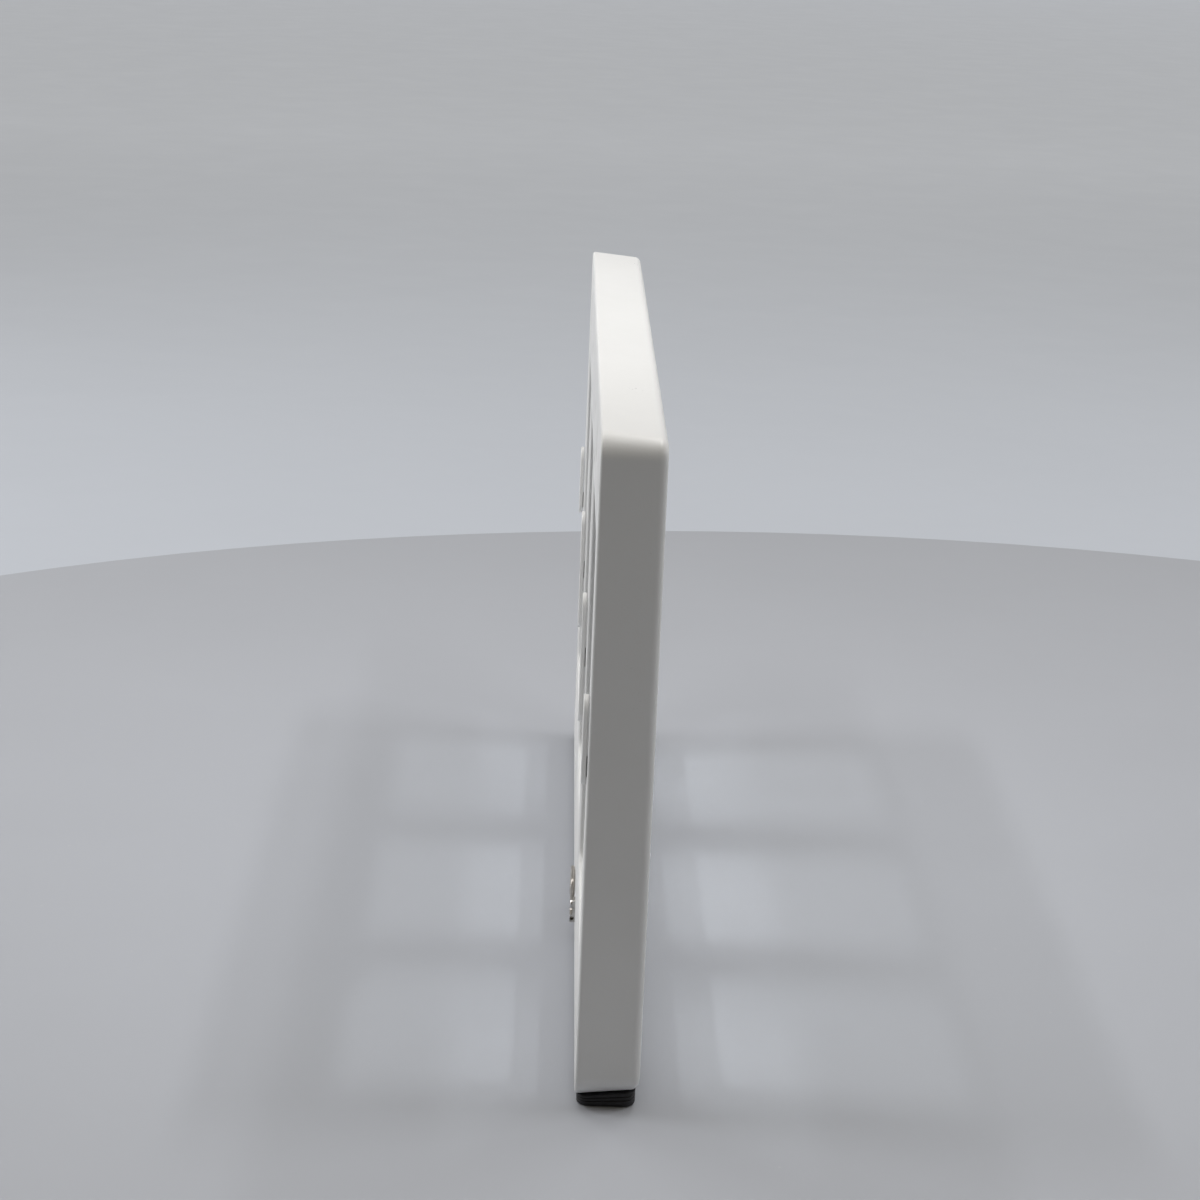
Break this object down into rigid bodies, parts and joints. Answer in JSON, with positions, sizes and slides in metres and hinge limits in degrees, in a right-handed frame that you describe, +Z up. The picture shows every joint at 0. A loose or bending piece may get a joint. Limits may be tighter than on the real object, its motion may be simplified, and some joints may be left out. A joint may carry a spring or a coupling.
{
  "type": "picture frame",
  "caption": "Wide free-standing white plastic photo frame with tall see-through windows, clear panes, turn buttons, rubber feet and a wire foot.",
  "frame": {"origin": "centre of the bounding box on the surface that the rubber feet stand on", "axes": "+X along the width, +Z up, front face towards -Y, rear hardware towards +Y"},
  "size_m": [0.418, 0.024, 0.2335],
  "materials": {
    "frame_white": "satin gloss moulded plastic",
    "cover_white": "fine matt moulded plastic",
    "clear_pane": "clear polished acrylic",
    "gasket_grey": "soft matt silicone",
    "liner_white": "satin moulded plastic",
    "button_white": "satin moulded plastic",
    "steel": "zinc plated",
    "hanger_steel": "zinc plated pressing",
    "wire_steel": "bright drawn wire",
    "foot_black": "matt black rubber"
  },
  "bodies": {
    "frame_body": {"front_frame": "frame_white", "rear_cover": "cover_white", "pane_1": "clear_pane", "pane_2": "clear_pane", "pane_3": "clear_pane", "gasket_1": "gasket_grey", "gasket_2": "gasket_grey", "gasket_3": "gasket_grey", "liner_1": "liner_white", "liner_2": "liner_white", "liner_3": "liner_white", "button_washers": "steel", "button_screws": "steel", "cover_screws": "steel", "wire_clip_left": "hanger_steel", "wire_clip_right": "hanger_steel", "clip_screws": "steel", "foot_left": "foot_black", "foot_right": "foot_black"},
    "turn_button_1": {"turn_button_1": "button_white"},
    "turn_button_2": {"turn_button_2": "button_white"},
    "turn_button_3": {"turn_button_3": "button_white"},
    "turn_button_4": {"turn_button_4": "button_white"},
    "wire_foot": {"wire_foot": "wire_steel"}
  },
  "joints": [
    {"name": "button_turn_1", "type": "hinge", "parent": "frame_body", "child": "turn_button_1", "pos_m": [-0.19602, 0.0111, 0.1185], "axis": [0, 1, 0], "range_deg": [0, 90]},
    {"name": "button_turn_2", "type": "hinge", "parent": "frame_body", "child": "turn_button_2", "pos_m": [-0.066, 0.0111, 0.1185], "axis": [0, 1, 0], "range_deg": [0, 90]},
    {"name": "button_turn_3", "type": "hinge", "parent": "frame_body", "child": "turn_button_3", "pos_m": [0.066, 0.0111, 0.1185], "axis": [0, 1, 0], "range_deg": [0, 90]},
    {"name": "button_turn_4", "type": "hinge", "parent": "frame_body", "child": "turn_button_4", "pos_m": [0.19602, 0.0111, 0.1185], "axis": [0, -1, 0], "range_deg": [0, 90]},
    {"name": "wire_swing", "type": "hinge", "parent": "frame_body", "child": "wire_foot", "pos_m": [-0.036, 0.0112, 0.0087], "axis": [-1, 0, 0], "range_deg": [0, 120]}
  ]
}
